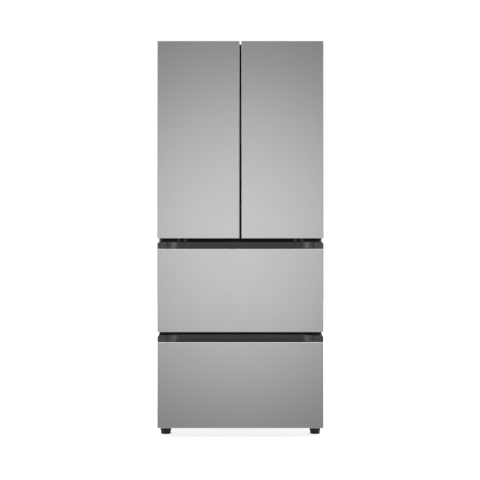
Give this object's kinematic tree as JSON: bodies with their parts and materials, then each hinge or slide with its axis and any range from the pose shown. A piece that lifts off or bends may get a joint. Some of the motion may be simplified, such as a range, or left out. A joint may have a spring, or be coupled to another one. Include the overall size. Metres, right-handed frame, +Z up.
{
  "type": "kimchi refrigerator",
  "caption": "Stand-type kimchi refrigerator with side-by-side upper doors over pull-out drawers, silver fronts, recessed dark grips and levelling feet.",
  "frame": {"origin": "floor level, under the middle of the bounding box", "axes": "+Z up; +Y from the doors to the back; +X to the right seen from the front"},
  "size_m": [0.75, 0.775, 1.808],
  "materials": {
    "silver_front": "satin",
    "silver_cabinet": "satin",
    "zinc_steel": "satin",
    "rear_steel": "satin",
    "dark_plastic": "satin",
    "dark_trim": "satin",
    "black_paint": "satin",
    "black_plastic": "matte",
    "white_liner": "gloss",
    "grey_cap": "matte",
    "clear_bin": "gloss",
    "shelf_glass": "gloss",
    "grey_seal": "matte",
    "black_rubber": "matte",
    "foam": "matte",
    "cold_aluminium": "satin",
    "touch_black": "gloss"
  },
  "bodies": {
    "cabinet": {"outer_shell": "silver_cabinet", "rear_panel": "rear_steel", "base_frame": "zinc_steel", "compressor_tray": "zinc_steel", "cabinet_foam": "foam", "left_liner": "white_liner", "right_liner": "white_liner", "middle_liner": "white_liner", "lower_liner": "white_liner", "center_mullion": "dark_trim", "upper_rail": "dark_trim", "lower_rail": "dark_trim", "top_hinges": "zinc_steel", "hinge_covers": "grey_cap", "mid_hinges": "black_paint", "upper_shelves": "shelf_glass", "evaporator_plates": "cold_aluminium", "compressor": "black_paint", "compressor_mounts": "black_rubber", "condenser": "black_paint", "fan_shroud": "black_plastic", "drain_pan": "black_plastic", "machine_cover": "rear_steel", "cord_gland": "black_plastic", "control_panel": "touch_black", "rail_channels": "zinc_steel"},
    "fan": {"condenser_fan": "black_plastic"},
    "left_roller": {"left_roller": "black_plastic"},
    "right_roller": {"right_roller": "black_plastic"},
    "left_foot": {"left_foot": "black_plastic"},
    "right_foot": {"right_foot": "black_plastic"},
    "left_door": {"left_door_skin": "silver_front", "left_door_foam": "foam", "left_door_caps": "grey_cap", "left_door_liner": "white_liner", "left_door_bins": "clear_bin", "left_door_gasket": "grey_seal"},
    "right_door": {"right_door_skin": "silver_front", "right_door_foam": "foam", "right_door_caps": "grey_cap", "right_door_liner": "white_liner", "right_door_bins": "clear_bin", "right_door_gasket": "grey_seal"},
    "middle_drawer": {"middle_drawer_panel": "silver_front", "middle_drawer_grip": "dark_plastic", "middle_drawer_foam": "foam", "middle_drawer_liner": "white_liner", "middle_drawer_gasket": "grey_seal", "middle_drawer_tub": "clear_bin", "middle_drawer_runners": "zinc_steel"},
    "middle_rails": {"middle_drawer_mid_rails": "zinc_steel"},
    "lower_drawer": {"lower_drawer_panel": "silver_front", "lower_drawer_grip": "dark_plastic", "lower_drawer_foam": "foam", "lower_drawer_liner": "white_liner", "lower_drawer_gasket": "grey_seal", "lower_drawer_tub": "clear_bin", "lower_drawer_runners": "zinc_steel"},
    "lower_rails": {"lower_drawer_mid_rails": "zinc_steel"}
  },
  "joints": [
    {"name": "left_door_hinge", "type": "hinge", "parent": "cabinet", "child": "left_door", "pos_m": [-0.353, -0.35, 1.3475], "axis": [0, 0, -1], "range_deg": [0, 120]},
    {"name": "right_door_hinge", "type": "hinge", "parent": "cabinet", "child": "right_door", "pos_m": [0.353, -0.35, 1.3475], "axis": [0, 0, 1], "range_deg": [0, 120]},
    {"name": "middle_drawer_slide", "type": "slide", "parent": "cabinet", "child": "middle_drawer", "axis": [0, -1, 0], "range_m": [0, 0.42]},
    {"name": "middle_rails_slide", "type": "slide", "parent": "cabinet", "child": "middle_rails", "axis": [0, -1, 0], "range_m": [0, 0.21]},
    {"name": "lower_drawer_slide", "type": "slide", "parent": "cabinet", "child": "lower_drawer", "axis": [0, -1, 0], "range_m": [0, 0.32]},
    {"name": "lower_rails_slide", "type": "slide", "parent": "cabinet", "child": "lower_rails", "axis": [0, -1, 0], "range_m": [0, 0.16]},
    {"name": "condenser_fan_spin", "type": "hinge", "parent": "cabinet", "child": "fan", "pos_m": [0.078, 0.268, 0.196], "axis": [1, 0, 0], "continuous": true},
    {"name": "left_roller_roll", "type": "hinge", "parent": "cabinet", "child": "left_roller", "pos_m": [-0.303, 0.3235, 0.022], "axis": [1, 0, 0], "continuous": true},
    {"name": "left_foot_turn", "type": "hinge", "parent": "cabinet", "child": "left_foot", "pos_m": [-0.345, -0.2775, 0.03], "axis": [0, 0, 1], "continuous": true},
    {"name": "right_roller_roll", "type": "hinge", "parent": "cabinet", "child": "right_roller", "pos_m": [0.303, 0.3235, 0.022], "axis": [1, 0, 0], "continuous": true},
    {"name": "right_foot_turn", "type": "hinge", "parent": "cabinet", "child": "right_foot", "pos_m": [0.345, -0.2775, 0.03], "axis": [0, 0, 1], "continuous": true}
  ],
  "couplings": [
    {"joint": "middle_rails_slide", "follows": "middle_drawer_slide", "ratio": 0.5},
    {"joint": "lower_rails_slide", "follows": "lower_drawer_slide", "ratio": 0.5}
  ]
}
